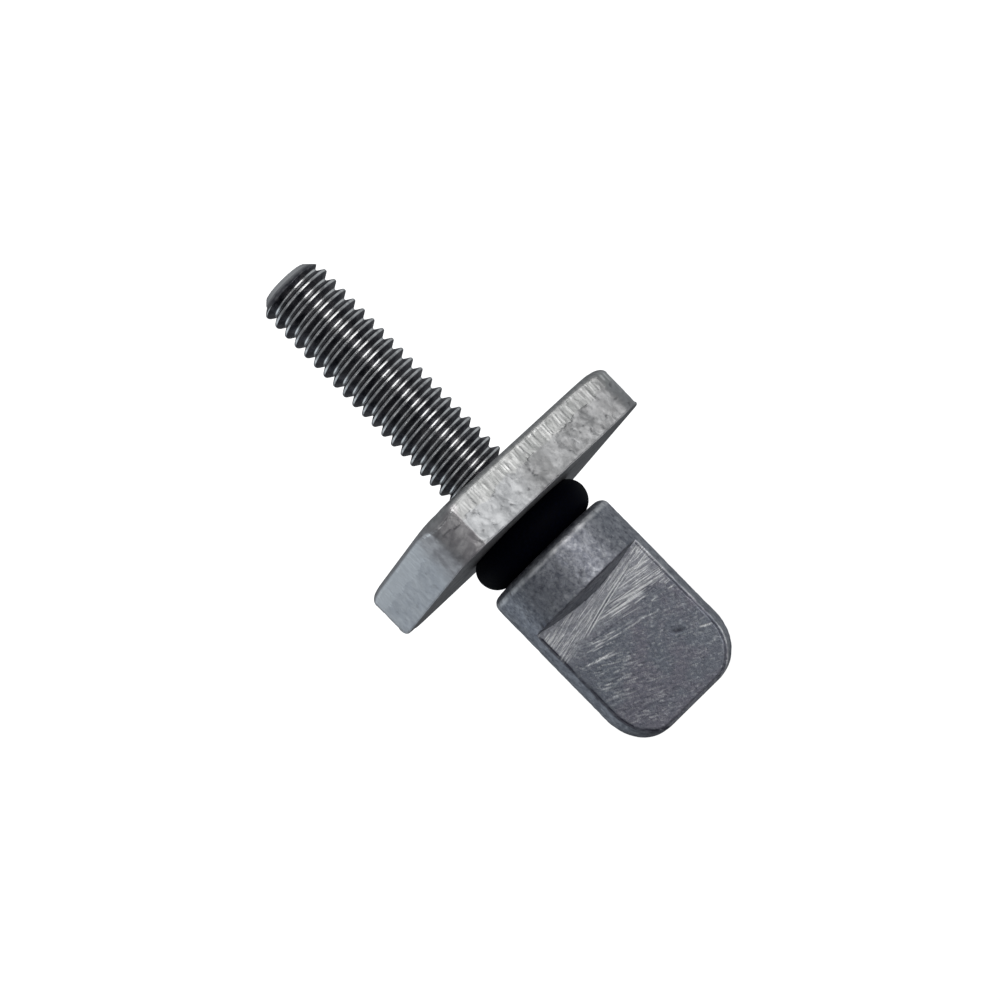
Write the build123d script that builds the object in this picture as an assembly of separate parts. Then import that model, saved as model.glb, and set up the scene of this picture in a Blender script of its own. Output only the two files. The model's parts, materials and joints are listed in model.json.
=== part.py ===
"""Thumb screw with a paddle head, an O-ring and a square nut plate, in millimetres.

The screw's axis is Z. The origin is on that axis, in the thread-side face of the nut plate.
The threaded shank points to -Z and the head to +Z. The plate's sides are along X and Y.
"""

from build123d import *
import math
import os

os.makedirs("parts", exist_ok=True)

# Metric M4 coarse thread, right hand.
PITCH = 0.7
CREST_R = 1.92
ROOT_R = 1.56
PITCH_LINE_R = 1.773
FLANK_SLOPE = math.tan(math.radians(30))
CREST_Z = 0.3             # height of a crest on the +X side, give or take whole pitches
FLANK_GAP = 0.045         # axial clearance of each flank in the tapped hole
TAP_MINOR_R = 1.66
TAP_MAJOR_R = 2.02
CUT_PAST = 0.03           # how far a thread cutter stands out of the surface it cuts
LEAD = 4.0                # extra length at each end while a thread is cut, trimmed off after
THROUGH = 1.0             # how far a cutting body reaches past what it cuts

# Nut plate, stamped: the punch rolls the edges of the thread-side face.
PLATE_SIDE = 13.1
PLATE_T = 2.76
PLATE_CORNER_R = 1.36
DIE_ROLL_R = 0.3
TAP_CHAMFER_R = 2.2
SLEEVE_R = 3.0

# Rubber ring, lying on the plate and pressed flat there, with a little play under the head.
RING_SPACE = 1.94
RING_GAP = 0.03
RING_OUTER_R = 3.56
RING_SECTION_R = 0.99
RING_MIDDLE_Z = 3.6
RING_TOP_FLAT = 0.02      # height ground off the ring's far side, so that it isn't a knife-thin contact

# Stud: threaded length, plain neck under the head, and the anchor that the head is cast around.
SHANK_LENGTH = 19.0
TIP_CHAMFER = 0.6
NECK_R = 1.5
THREAD_TOP_Z = 3.0
ANCHOR_R = 1.15
ANCHOR_LENGTH = 6.0
ANCHOR_CHAMFER = 0.25

# Head: a round boss whose end falls away as a shallow cone to the paddle.
HEAD_R = 3.87
HEAD_LENGTH = 10.6
BOSS_LENGTH = 2.75
BOSS_RIM_R = 0.5
STEP_DROP = 0.46
PADDLE_T = 3.5
PADDLE_TURN = 23.0        # degrees about +Z, from the plate's X side to the paddle's flat
PADDLE_EDGE_R = 0.12
PADDLE_CORNER = (1.85, 2.45)   # elliptical corners of the far end: across the paddle, along the screw
PADDLE_END_ROUND = (0.3, 0.3)  # the same for the edges between the end and the flats

SHOULDER_Z = PLATE_T + RING_SPACE
TIP_Z = SHOULDER_Z - SHANK_LENGTH
HEAD_END_Z = SHOULDER_Z + HEAD_LENGTH


def crest_half_width(radius):
    """Half the axial thickness of the stud's thread ridge at a radius."""
    return PITCH / 4 - (radius - PITCH_LINE_R) * FLANK_SLOPE


def helical_cutter(inner, outer, middle_z, low_z, high_z):
    """A trapezoid swept along the thread. inner and outer are (radius, half width) pairs."""
    start_z = middle_z - math.ceil((middle_z - low_z) / PITCH) * PITCH
    turns = math.ceil((high_z - start_z) / PITCH)
    path = Helix(PITCH, turns * PITCH, inner[0], center=(0, 0, start_z))
    section_plane = Plane(origin=(inner[0], 0, start_z), x_dir=(1, 0, 0), z_dir=(0, -1, 0))
    depth = outer[0] - inner[0]
    outline = Polyline(
        (0, -inner[1]), (depth, -outer[1]), (depth, outer[1]), (0, inner[1]), close=True
    )
    return sweep(section_plane * make_face(outline), path=path, is_frenet=True)


def disc(radius, low_z, high_z):
    """A solid cylinder on the Z axis between two heights."""
    height = high_z - low_z
    return Pos(0, 0, low_z) * Cylinder(radius, height, align=(Align.CENTER, Align.CENTER, Align.MIN))


def turned(points):
    """A solid of revolution about Z from its outline in the XZ half plane."""
    return revolve(make_face(Plane.XZ * Polyline(*points, close=True)), Axis.Z)


def threaded_stud():
    """Chamfered tip, rolled thread, plain neck under the head, and the anchor inside it."""
    outer_r = CREST_R + CUT_PAST
    groove = helical_cutter(
        (ROOT_R, PITCH / 2 - crest_half_width(ROOT_R)),
        (outer_r, PITCH / 2 - crest_half_width(outer_r)),
        CREST_Z + PITCH / 2,
        TIP_Z - PITCH,
        THREAD_TOP_Z + PITCH,
    )
    long_rod = disc(CREST_R, TIP_Z - LEAD, THREAD_TOP_Z + LEAD)
    chamfer_rise = outer_r - (CREST_R - TIP_CHAMFER)
    threaded_length = turned(
        [
            (0, TIP_Z),
            (CREST_R - TIP_CHAMFER, TIP_Z),
            (outer_r, TIP_Z + chamfer_rise),
            (outer_r, THREAD_TOP_Z - (outer_r - NECK_R)),
            (NECK_R, THREAD_TOP_Z),
            (0, THREAD_TOP_Z),
        ]
    )
    anchor_end = SHOULDER_Z + ANCHOR_LENGTH
    neck_and_anchor = turned(
        [
            (0, THREAD_TOP_Z),
            (NECK_R, THREAD_TOP_Z),
            (NECK_R, SHOULDER_Z),
            (ANCHOR_R, SHOULDER_Z),
            (ANCHOR_R, anchor_end - ANCHOR_CHAMFER),
            (ANCHOR_R - ANCHOR_CHAMFER, anchor_end),
            (0, anchor_end),
        ]
    )
    return (long_rod - groove & threaded_length) + neck_and_anchor


def tapped_sleeve():
    """The metal round the plate's hole, with the thread and a chamfer at each mouth."""
    long_sleeve = disc(SLEEVE_R + THROUGH, -LEAD, PLATE_T + LEAD)
    long_sleeve -= disc(TAP_MINOR_R, -LEAD - THROUGH, PLATE_T + LEAD + THROUGH)
    inner_r = TAP_MINOR_R - CUT_PAST
    groove = helical_cutter(
        (inner_r, crest_half_width(inner_r) + FLANK_GAP),
        (TAP_MAJOR_R, crest_half_width(TAP_MAJOR_R) + FLANK_GAP),
        CREST_Z,
        -PITCH,
        PLATE_T + PITCH,
    )
    chamfer_depth = TAP_CHAMFER_R - inner_r
    trimmed = turned(
        [
            (TAP_CHAMFER_R, 0),
            (SLEEVE_R, 0),
            (SLEEVE_R, PLATE_T),
            (TAP_CHAMFER_R, PLATE_T),
            (inner_r, PLATE_T - chamfer_depth),
            (inner_r, chamfer_depth),
        ]
    )
    return long_sleeve - groove & trimmed


def nut_plate():
    """Square plate with rounded corners, a rolled thread-side rim and a tapped hole."""
    outline = RectangleRounded(PLATE_SIDE, PLATE_SIDE, PLATE_CORNER_R)
    plate = extrude(outline, amount=PLATE_T)
    rim = plate.faces().sort_by(Axis.Z)[0].edges()
    plate = fillet(rim, DIE_ROLL_R)
    return (plate - disc(SLEEVE_R, -THROUGH, PLATE_T + THROUGH)) + tapped_sleeve()


def o_ring():
    """Round-section ring, pressed flat where it lies on the plate."""
    ring = Pos(0, 0, RING_MIDDLE_Z) * Torus(RING_OUTER_R - RING_SECTION_R, RING_SECTION_R)
    top_z = RING_MIDDLE_Z + RING_SECTION_R - RING_TOP_FLAT
    return ring & disc(RING_OUTER_R + THROUGH, PLATE_T + RING_GAP, top_z)


def boss():
    """Round part of the head: rounded shoulder rim, straight side, shallow cone towards the paddle."""
    cone_z = SHOULDER_Z + BOSS_LENGTH
    slope = STEP_DROP / (HEAD_R - PADDLE_T / 2)
    body = turned(
        [
            (0, SHOULDER_Z),
            (HEAD_R, SHOULDER_Z),
            (HEAD_R, cone_z),
            (0, cone_z + slope * HEAD_R),
        ]
    )
    rim = body.edges().filter_by(GeomType.CIRCLE).sort_by(Axis.Z)[0]
    return fillet(rim, BOSS_RIM_R)


def round_ended(plane, width, corner):
    """A long tab seen square to the plane: width across, elliptical corners at the head's far end."""
    across, up = corner
    centre_x = width / 2 - across
    right = EllipticalCenterArc((centre_x, -up), across, up, 0, arc_size=90)
    left = EllipticalCenterArc((-centre_x, -up), across, up, 90, arc_size=90)
    top = Line(right @ 1, left @ 0)
    rest = Polyline(left @ 1, (-width / 2, -HEAD_LENGTH), (width / 2, -HEAD_LENGTH), right @ 0)
    outline = make_face(right + top + left + rest)
    return extrude(Pos(0, 0, HEAD_END_Z) * (plane * outline), amount=2 * HEAD_R, both=True)


def paddle():
    """Flat-sided grip: the boss's own cylinder cut to a slab, with its outer corners rounded."""
    section = Circle(HEAD_R) & Rectangle(2 * HEAD_R, PADDLE_T)
    section = fillet(section.vertices(), PADDLE_EDGE_R)
    root_z = SHOULDER_Z + BOSS_RIM_R
    grip = extrude(Pos(0, 0, root_z) * section, amount=HEAD_END_Z - root_z)
    grip &= round_ended(Plane.XZ, 2 * HEAD_R, PADDLE_CORNER)
    return grip & round_ended(Plane.YZ, PADDLE_T, PADDLE_END_ROUND)


def thumb_head():
    """Cast head, bored for the stud's anchor."""
    body = boss() + Rot(0, 0, PADDLE_TURN) * paddle()
    anchor_end = SHOULDER_Z + ANCHOR_LENGTH
    socket = turned(
        [
            (0, SHOULDER_Z - THROUGH),
            (ANCHOR_R, SHOULDER_Z - THROUGH),
            (ANCHOR_R, anchor_end - ANCHOR_CHAMFER),
            (ANCHOR_R - ANCHOR_CHAMFER, anchor_end),
            (0, anchor_end),
        ]
    )
    return body - socket


for make in (threaded_stud, nut_plate, o_ring, thumb_head):
    export_step(make(), f"parts/{make.__name__}.step")
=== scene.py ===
import json
import math
import random

import bmesh
import bpy
import numpy as np
from mathutils import Matrix, Vector, noise


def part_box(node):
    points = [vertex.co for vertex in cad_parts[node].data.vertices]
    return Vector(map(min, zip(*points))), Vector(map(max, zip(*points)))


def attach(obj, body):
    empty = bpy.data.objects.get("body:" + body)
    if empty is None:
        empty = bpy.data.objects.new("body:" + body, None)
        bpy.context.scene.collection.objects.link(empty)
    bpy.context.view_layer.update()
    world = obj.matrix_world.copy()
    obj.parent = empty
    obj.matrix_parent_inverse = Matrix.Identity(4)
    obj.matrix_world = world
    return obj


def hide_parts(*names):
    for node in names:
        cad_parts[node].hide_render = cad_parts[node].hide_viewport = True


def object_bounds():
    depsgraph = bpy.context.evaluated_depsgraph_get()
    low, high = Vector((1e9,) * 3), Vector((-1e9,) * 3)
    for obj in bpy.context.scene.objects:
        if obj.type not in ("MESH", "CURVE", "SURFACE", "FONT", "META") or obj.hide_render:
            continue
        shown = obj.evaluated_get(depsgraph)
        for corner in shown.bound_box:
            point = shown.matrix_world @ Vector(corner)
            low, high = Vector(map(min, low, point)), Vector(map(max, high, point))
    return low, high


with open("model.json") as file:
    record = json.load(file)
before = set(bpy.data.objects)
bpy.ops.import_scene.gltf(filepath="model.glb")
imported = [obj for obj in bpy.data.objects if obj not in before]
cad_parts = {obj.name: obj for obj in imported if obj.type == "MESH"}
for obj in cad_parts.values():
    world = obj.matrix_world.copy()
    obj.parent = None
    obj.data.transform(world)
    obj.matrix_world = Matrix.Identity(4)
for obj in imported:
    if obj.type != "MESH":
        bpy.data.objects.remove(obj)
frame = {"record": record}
cad_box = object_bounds()

# ---------------------------------------------------------------- sizes, in millimetres
MM = 0.001


def node_box(name):
    """Lowest and highest corner of a CAD node, in millimetres."""
    low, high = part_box(name)
    return np.array(low) / MM, np.array(high) / MM


PLATE_HIGH = node_box("nut_plate")[1]
RING_LOW = node_box("o_ring")[0]
STUD_LOW, STUD_HIGH = node_box("threaded_stud")
HEAD_LOW, HEAD_HIGH = node_box("thumb_head")
STUD_MOUNT = next(m for m in frame["record"]["mounts"] if m["name"] == "stud")

# Thread, as in the part: M4 coarse, right hand.
PITCH = 0.7
CREST_R = STUD_MOUNT["dims"]["r_mm"]
ROOT_R = 1.56
PITCH_LINE_R = 1.773
CREST_Z = 0.3
FLANK_SLOPE = math.tan(math.radians(30))
FLANK_GAP = 0.045
TIP_Z = STUD_LOW[2]
TIP_CHAMFER = 0.6
TIP_R = CREST_R - TIP_CHAMFER - 0.03
NECK_R = 1.5
THREAD_TOP_Z = 3.0
ANCHOR_R = 1.15
ANCHOR_CHAMFER = 0.25
SOCKET_R = ANCHOR_R + 0.01
ANCHOR_END_Z = STUD_HIGH[2]
TAP_MINOR_R = 1.66
TAP_MAJOR_R = 2.02
TAP_MOUTH_R = 2.2

PLATE_HALF = PLATE_HIGH[0]
PLATE_T = PLATE_HIGH[2]
PLATE_CORNER_R = 1.36
PLATE_ARC = math.pi / 2 * PLATE_CORNER_R
DIE_ROLL_R = 0.3
SHEAR_BAND_Z = 1.12           # where the band that the die cut clean gives way to torn metal

RING_OUTER_R = 3.56
RING_SECTION_R = 0.99
RING_MIDDLE_Z = 3.6
RING_REST_GAP = 0.02          # between the drawn ring and the head's seat

HEAD_TURN = math.radians(23)
SHOULDER_Z = HEAD_LOW[2]
HEAD_END_Z = HEAD_HIGH[2]
HEAD_R = 3.87
BOSS_END_Z = SHOULDER_Z + 2.75
STEP_DROP = 0.46
RIM_R = 0.5
PADDLE_HALF_T = 1.75
PADDLE_CORNER_ACROSS = (1.85, 2.05)    # on the paddle's own +X and -X side
PADDLE_CORNER_UP = 2.45
PADDLE_END_R = 0.3
PADDLE_EDGE_X = math.sqrt(HEAD_R**2 - PADDLE_HALF_T**2)

# ---------------------------------------------------------------- camera
CAMERA_AZIMUTH = math.radians(25.55)
CAMERA_ELEVATION = math.radians(3.27)
CAMERA_DISTANCE = 132.23
CAMERA_LENS = 94.4
HEAD_POINTS = Vector((0.6998, -0.7144))     # where the head end points in the picture, x right, y up
AIM = Vector((-0.0616, 0.0, 1.244))         # across, towards the camera, along the screw

across = Vector((math.cos(CAMERA_AZIMUTH), math.sin(CAMERA_AZIMUTH), 0))
towards = Vector((math.sin(CAMERA_AZIMUTH), -math.cos(CAMERA_AZIMUTH), 0))
along = Vector((0, 0, 1))


def in_view(right, front, up):
    """A vector from its parts across the view, towards the camera and along the screw."""
    return across * right + towards * front + along * up


def make_camera():
    data = bpy.data.cameras.new("camera")
    data.lens = CAMERA_LENS
    data.sensor_width = 36.0
    data.clip_start = 0.005
    data.clip_end = 20
    camera = bpy.data.objects.new("camera", data)
    bpy.context.scene.collection.objects.link(camera)
    back = in_view(0, math.cos(CAMERA_ELEVATION), math.sin(CAMERA_ELEVATION))
    upright = in_view(0, -math.sin(CAMERA_ELEVATION), math.cos(CAMERA_ELEVATION))
    picture_right = upright * HEAD_POINTS.x + across * HEAD_POINTS.y
    picture_up = upright * HEAD_POINTS.y - across * HEAD_POINTS.x
    place = (in_view(*AIM) + back * CAMERA_DISTANCE) * MM
    camera.matrix_world = Matrix((picture_right, picture_up, back)).transposed().to_4x4()
    camera.location = place
    bpy.context.scene.camera = camera


make_camera()


# ---------------------------------------------------------------- mesh code
class Shell:
    """Grids of points, in millimetres, that are joined into one closed mesh."""

    def __init__(self, *marks):
        self.points = []
        self.quads = []
        self.marks = {mark: [] for mark in marks}
        self.count = 0

    def grid(self, points, turn=0, **marks):
        """Adds rows of points that close into rings.

        With turn, the end of a row meets the start of the row that many further on.
        """
        rows, columns = points.shape[:2]
        index = self.count + np.arange(rows * columns).reshape(rows, columns)
        after = np.roll(index, -1, axis=1)
        if turn:
            after[:, -1] = -1
            after[: rows - turn, -1] = index[turn:, 0]
        quads = np.stack([index[:-1], after[:-1], after[1:], index[1:]], axis=-1).reshape(-1, 4)
        self.quads.append(quads[(quads >= 0).all(axis=1)])
        self.points.append(points.reshape(-1, 3))
        for mark, values in self.marks.items():
            values.append(np.broadcast_to(marks.get(mark, 0.0), (rows, columns)).reshape(-1))
        self.count += rows * columns

    def build(self, name, body, node, material, sharp=50):
        """Makes the object, rides it on its body and lets it stand for its CAD node."""
        mesh = bpy.data.meshes.new(name)
        mesh.from_pydata((np.concatenate(self.points) * MM).tolist(), [], np.concatenate(self.quads).tolist())
        for mark, values in self.marks.items():
            mesh.attributes.new(mark, "FLOAT", "POINT").data.foreach_set("value", np.concatenate(values))
        form = bmesh.new()
        form.from_mesh(mesh)
        bmesh.ops.remove_doubles(form, verts=form.verts, dist=2e-7)
        bmesh.ops.dissolve_degenerate(form, edges=form.edges, dist=1e-8)
        bmesh.ops.recalc_face_normals(form, faces=form.faces)
        for face in form.faces:
            face.smooth = True
        form.to_mesh(mesh)
        form.free()
        mesh.set_sharp_from_angle(angle=math.radians(sharp))
        mesh.materials.append(material)
        piece = bpy.data.objects.new(name, mesh)
        bpy.context.scene.collection.objects.link(piece)
        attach(piece, body)
        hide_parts(node)
        return piece


def ring(radius, angles, z):
    """One row: points at these angles, radii and heights."""
    radius = np.broadcast_to(radius, angles.shape)
    z = np.broadcast_to(z, angles.shape)
    return np.stack([radius * np.cos(angles), radius * np.sin(angles), z], axis=-1)


def turned(profile, angles):
    """Rows of a surface of revolution from its (radius, height) points."""
    return np.stack([ring(radius, angles, z) for radius, z in profile])


def soft_min(a, b, blend):
    """The smaller of two, rounded where they cross."""
    h = np.clip(0.5 + 0.5 * (b - a) / blend, 0, 1)
    return b * (1 - h) + a * h - blend * h * (1 - h)


def soft_max(a, b, blend):
    return -soft_min(-a, -b, blend)


def ease(value, low, high):
    """0 at low, 1 at high, smooth between."""
    t = np.clip((value - low) / (high - low), 0, 1)
    return t * t * (3 - 2 * t)


def rough(points, size, depth, seed=0.0, octaves=3):
    """Fractal noise at each point, about -depth to depth, with lumps of about that size."""
    flat = points.reshape(-1, 3) / size + seed
    values = [noise.fractal(p, 1.0, 2.0, octaves) for p in flat.tolist()]
    return depth * np.array(values).reshape(points.shape[:-1])


def strokes(u, v, lines):
    """Straight or slightly bent lines on a surface with coordinates u and v, added up."""
    field = np.zeros(u.shape)
    for at_u, at_v, angle, length, width, strength, bend in lines:
        cos, sin = math.cos(angle), math.sin(angle)
        way = (u - at_u) * cos + (v - at_v) * sin
        off = (v - at_v) * cos - (u - at_u) * sin - bend * way**2
        near = (np.abs(way) < length / 2) & (np.abs(off) < 3 * width)
        taper = ease(length / 2 - np.abs(way[near]), 0, 0.25 * length)
        field[near] += strength * taper * np.exp(-((off[near] / width) ** 2))
    return field


def scatter(draw, count, u, v, angle, length, width, strength):
    """Random lines for strokes. Each measure is a (low, high) range, and angles are in degrees."""
    lines = []
    for _ in range(count):
        turn = math.radians(draw.uniform(*angle))
        shade = draw.uniform(*strength)
        place = draw.uniform(*u), draw.uniform(*v)
        lines.append((*place, turn, draw.uniform(*length), draw.uniform(*width), shade, 0.0))
    return lines


# ---------------------------------------------------------------- thread
def flank_half_width(radius):
    """Half the axial width of the stud's thread ridge at a radius."""
    return PITCH / 4 - (radius - PITCH_LINE_R) * FLANK_SLOPE


def ridge_profile(crest_r, root_r, crest_half, root_half):
    """(distance along the axis, radius) over one pitch from a crest's middle, corners and root rounded."""
    side = [
        (0, crest_r),
        (0.3 * crest_half, crest_r - 0.001),
        (0.6 * crest_half, crest_r - 0.009),
        (0.9 * crest_half, crest_r - 0.030),
        (1.15 * crest_half, crest_r - 0.062),
    ]
    foot = PITCH / 2 - root_half
    start_u, start_r = side[-1]
    end_u, end_r = foot - 0.045, root_r + 0.06
    side += [(start_u + (end_u - start_u) * t, start_r + (end_r - start_r) * t) for t in (0.33, 0.67, 1)]
    side += [(foot - 0.012, root_r + 0.016), (foot + 0.35 * root_half, root_r), (PITCH / 2, root_r - 0.004)]
    other = [(PITCH - u, r) for u, r in side[-2:0:-1]]
    return np.array(side + other)


def threaded_rows(profile, angles, low_z, high_z):
    """Heights and radii of rows that follow the thread between two heights, and rows per pitch."""
    first = math.floor((low_z - CREST_Z) / PITCH) - 2
    last = math.ceil((high_z - CREST_Z) / PITCH) + 1
    lift = PITCH * angles / (2 * math.pi)
    heights, radii = [], []
    for turn_number in range(first, last + 1):
        for u, radius in profile:
            heights.append(CREST_Z + turn_number * PITCH + u + lift)
            radii.append(np.full_like(angles, radius))
    return np.clip(np.array(heights), low_z, high_z), np.array(radii), len(profile)


def make_stud(material):
    columns = 160
    angles = np.arange(columns) * 2 * math.pi / columns
    profile = ridge_profile(CREST_R, ROOT_R, flank_half_width(CREST_R), PITCH / 2 - flank_half_width(ROOT_R))
    heights, radii, per_pitch = threaded_rows(profile, angles, TIP_Z, THREAD_TOP_Z)
    chamfer = CREST_R - TIP_CHAMFER + (heights - TIP_Z)
    run_out = NECK_R + (THREAD_TOP_Z - heights)
    radii = soft_min(soft_min(radii, chamfer, 0.03), run_out, 0.03)
    radii = np.where(heights <= TIP_Z, TIP_R, radii)
    radii = np.where(heights >= THREAD_TOP_Z, NECK_R, radii)
    shell = Shell()
    shell.grid(np.stack([radii * np.cos(angles), radii * np.sin(angles), heights], axis=-1), turn=per_pitch)
    tip = [(TIP_R, TIP_Z), (1.15, TIP_Z + 0.01), (0.8, TIP_Z + 0.05), (0.3, TIP_Z + 0.06), (0, TIP_Z + 0.06)]
    shell.grid(turned(tip, angles))
    rest = [
        (NECK_R, THREAD_TOP_Z),
        (NECK_R, SHOULDER_Z),
        (ANCHOR_R, SHOULDER_Z),
        (ANCHOR_R, ANCHOR_END_Z - ANCHOR_CHAMFER),
        (ANCHOR_R - ANCHOR_CHAMFER, ANCHOR_END_Z),
        (0, ANCHOR_END_Z),
    ]
    shell.grid(turned(rest, angles))
    return shell.build("threaded_stud_detail", "screw", "threaded_stud", material)


# ---------------------------------------------------------------- nut plate
PLATE_COLUMNS = 1000
PLATE_SIDE_ROWS = 66
# The four corners, anticlockwise from +X +Y: how much metal each has lost to the punch's edge, and
# how far its head-side edge is rounded.
CORNER_WEAR = (0.05, 0.15, 0.12, 1.0)
CORNER_ROUND = (0.62, 0.3, 0.12, 0.05)


def plate_outline(count):
    """Evenly spaced points on the rounded square from angle 0, with normals and each point's way round."""
    straight = 2 * (PLATE_HALF - PLATE_CORNER_R)
    way = (np.arange(count) + 0.5) * 4 * (straight + PLATE_ARC) / count
    side = np.floor((way + straight / 2) / (straight + PLATE_ARC))
    on_side = way + straight / 2 - side * (straight + PLATE_ARC)
    turn = np.clip((on_side - straight) / PLATE_CORNER_R, 0, math.pi / 2)
    middle = PLATE_HALF - PLATE_CORNER_R
    local_x = middle + PLATE_CORNER_R * np.cos(turn)
    local_y = np.where(on_side < straight, on_side - straight / 2, middle + PLATE_CORNER_R * np.sin(turn))
    heading = side * math.pi / 2
    cos, sin = np.cos(heading), np.sin(heading)
    points = np.stack([local_x * cos - local_y * sin, local_x * sin + local_y * cos], axis=-1)
    normals = np.stack([np.cos(heading + turn), np.sin(heading + turn)], axis=-1)
    # Distance along the outline past the near end of each point's corner, and that corner's number.
    past = on_side - straight
    corner = side.astype(int)
    before = past < -straight / 2
    past = np.where(before, past + straight + PLATE_ARC, past)
    corner = np.where(before, corner - 1, corner) % 4
    return points, normals, way, past, corner


class PlateEdge:
    """The plate's worn outline: one entry for each column of the mesh."""

    def __init__(self, count):
        points, self.normal, self.way, self.past, corner = plate_outline(count)
        angles = np.arctan2(points[:, 1], points[:, 0])
        self.angles = np.where(angles < -1e-6, angles + 2 * math.pi, angles)
        self.wear = np.array(CORNER_WEAR)[corner]
        # The corner's lost metal starts at a crease on one side and runs out past the corner's end.
        reach = 0.75
        share = np.clip(self.past / (PLATE_ARC + reach), 0, 1)
        loss = 0.36 * (PLATE_ARC + reach) * share * (1 - share) ** 2 * self.wear
        cornered = np.exp(-(((self.past - PLATE_ARC / 2) / 1.25) ** 2))
        self.points = points - self.normal * loss[:, None]
        self.roll_height = DIE_ROLL_R + 0.28 * cornered
        self.roll_width = 0.45 + 0.55 * cornered
        self.top_round = 0.03 + np.array(CORNER_ROUND)[corner] * cornered**2

    def row(self, inset, z):
        """One row parallel to the outline."""
        inset = np.broadcast_to(inset, self.angles.shape)
        z = np.broadcast_to(z, self.angles.shape)
        return np.concatenate([self.points - self.normal * inset[:, None], z[:, None]], axis=1)


def plate_rows(edge):
    """Smooth rows of the plate from the hole's head-side mouth, round the outside, to its other mouth.

    Also the number of rows on the head-side face, and where the side's rows start and stop.
    """
    mouth = ring(TAP_MOUTH_R, edge.angles, 0.0)
    top_mouth = ring(TAP_MOUTH_R, edge.angles, PLATE_T)
    outer = edge.row(edge.top_round, PLATE_T)
    rows = [top_mouth + (outer - top_mouth) * t for t in (0, 0.05, 0.2, 0.4, 0.6, 0.8, 0.95, 0.99, 1)]
    face_rows = len(rows)
    for turn in np.linspace(0, math.pi / 2, 9)[1:]:
        inset = edge.top_round * (1 - math.sin(turn))
        rows.append(edge.row(inset, PLATE_T - edge.top_round * (1 - math.cos(turn))))
    first = len(rows)
    for t in np.linspace(0, 1, PLATE_SIDE_ROWS + 1)[1:]:
        rows.append(edge.row(0.0, (PLATE_T - edge.top_round) * (1 - t) + edge.roll_height * t))
    last = len(rows)
    for turn in np.linspace(0, math.pi / 2, 11)[1:]:
        inset = edge.roll_width * (1 - math.cos(turn))
        rows.append(edge.row(inset, edge.roll_height * (1 - math.sin(turn))))
    inner = rows[-1]
    rows += [inner + (mouth - inner) * t for t in (0.03, 0.1, 0.3, 0.5, 0.7, 0.85, 0.97, 1)]
    return np.array(rows), face_rows, first, last


def shear_marks(around, height, total):
    """Upright marks that the die left on the sheared band: bright above 0, dark below."""
    draw = random.Random(41)
    marks = scatter(draw, 260, (0, total), (0.45, 0.85), (86, 94), (0.3, 0.9), (0.022, 0.06), (0.1, 0.55))
    marks += scatter(draw, 70, (0, total), (0.6, 0.85), (86, 94), (0.5, 0.9), (0.02, 0.045), (0.7, 1.5))
    marks += scatter(draw, 70, (0, total), (0.5, 0.9), (84, 96), (0.5, 1.1), (0.02, 0.045), (-0.7, -0.25))
    return strokes(around, height, marks)


def carve_side(edge, side):
    """Sinks the torn metal and the sheared band into the side's rows, in place.

    Gives back what each of their points carries.
    """
    around = np.broadcast_to(edge.way, side.shape[:2])
    height = side[..., 2]
    over_rim = height - edge.roll_height
    foot = np.stack([edge.points[:, 0], edge.points[:, 1], np.zeros(len(edge.way))], axis=-1)
    ragged = SHEAR_BAND_Z + rough(foot, 0.75, 0.16, 5.0) + rough(foot, 0.22, 0.12, 7.3)
    torn = ease(height, ragged - 0.05, ragged + 0.05)
    wander = edge.past + rough(side, 0.9, 0.5, 15.3) + rough(side, 0.3, 0.15, 16.1)
    start = -0.3 * np.exp(-((over_rim / 0.3) ** 2))
    worn = ease(edge.past - start, -0.03, 0.03) * (1 - ease(wander, PLATE_ARC + 0.4, PLATE_ARC + 2.2))
    worn = worn * edge.wear
    lumps = rough(side, 1.1, 0.040, 3.1, 2) + rough(side, 0.45, 0.020, 9.7, 2) + rough(side, 0.2, 0.004, 12.9)
    pits = ease(rough(side * (1, 1, 1.3), 0.42, 1.0, 31.7), 0.5, 0.8)
    # The +X side was cut cleaner than the others.
    rugged = 1 - 0.65 * ease(edge.normal[:, 0], 0.8, 0.99)
    shear = shear_marks(around, height, float(edge.way[-1])) * (1 - torn) * (1 - 0.75 * worn) * rugged
    ridges = rough(side * (1, 1, 0.05), 0.16, 0.008, 21.0)
    pits = pits * rugged
    sunk = np.maximum(lumps + 0.02 * pits + 0.012, 0) * torn + np.maximum(ridges + 0.006, 0) * (1 - torn)
    sunk *= rugged
    sunk += np.clip(0.012 - 0.010 * shear, 0, 0.03) * (1 - torn) + 0.02 * torn
    lip = ease(over_rim, 0.0, 0.05)
    side[..., :2] -= edge.normal[None] * (sunk * lip)[..., None]
    # Painted shade: a dark band where the worn corner runs out into the next side.
    worn_corner_shade = 0.42 * np.exp(-(((wander - PLATE_ARC - 0.15) / 0.5) ** 2)) * edge.wear
    # A painted highlight runs along the rim as a thin white line, broken into dots.
    dots = ease(rough(foot, 0.16, 1.0, 17.0), -0.25, 0.3)
    dots *= 0.35 + 0.65 * ease(rough(foot, 1.4, 1.0, 19.0), -0.3, 0.3)
    plate_rim_highlight = np.exp(-(((over_rim - 0.05) / 0.045) ** 2)) * dots
    # Darker along the head-side edge, in broken stretches.
    edge_breaks = rough(foot, 0.3, 1.0, 23.0)
    low_edge = np.exp(-(((PLATE_T - height) / 0.07) ** 2)) * ease(edge_breaks, -0.3, 0.4)
    # pit: the torn metal's pits, the darker head-side edge and the painted shade at the worn corner.
    pit = np.maximum.reduce([pits * torn, low_edge, worn_corner_shade])
    return {"torn": torn, "worn": worn, "shear": np.clip(shear, -1, 1.5), "plate_rim_highlight": plate_rim_highlight, "pit": pit}


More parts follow.
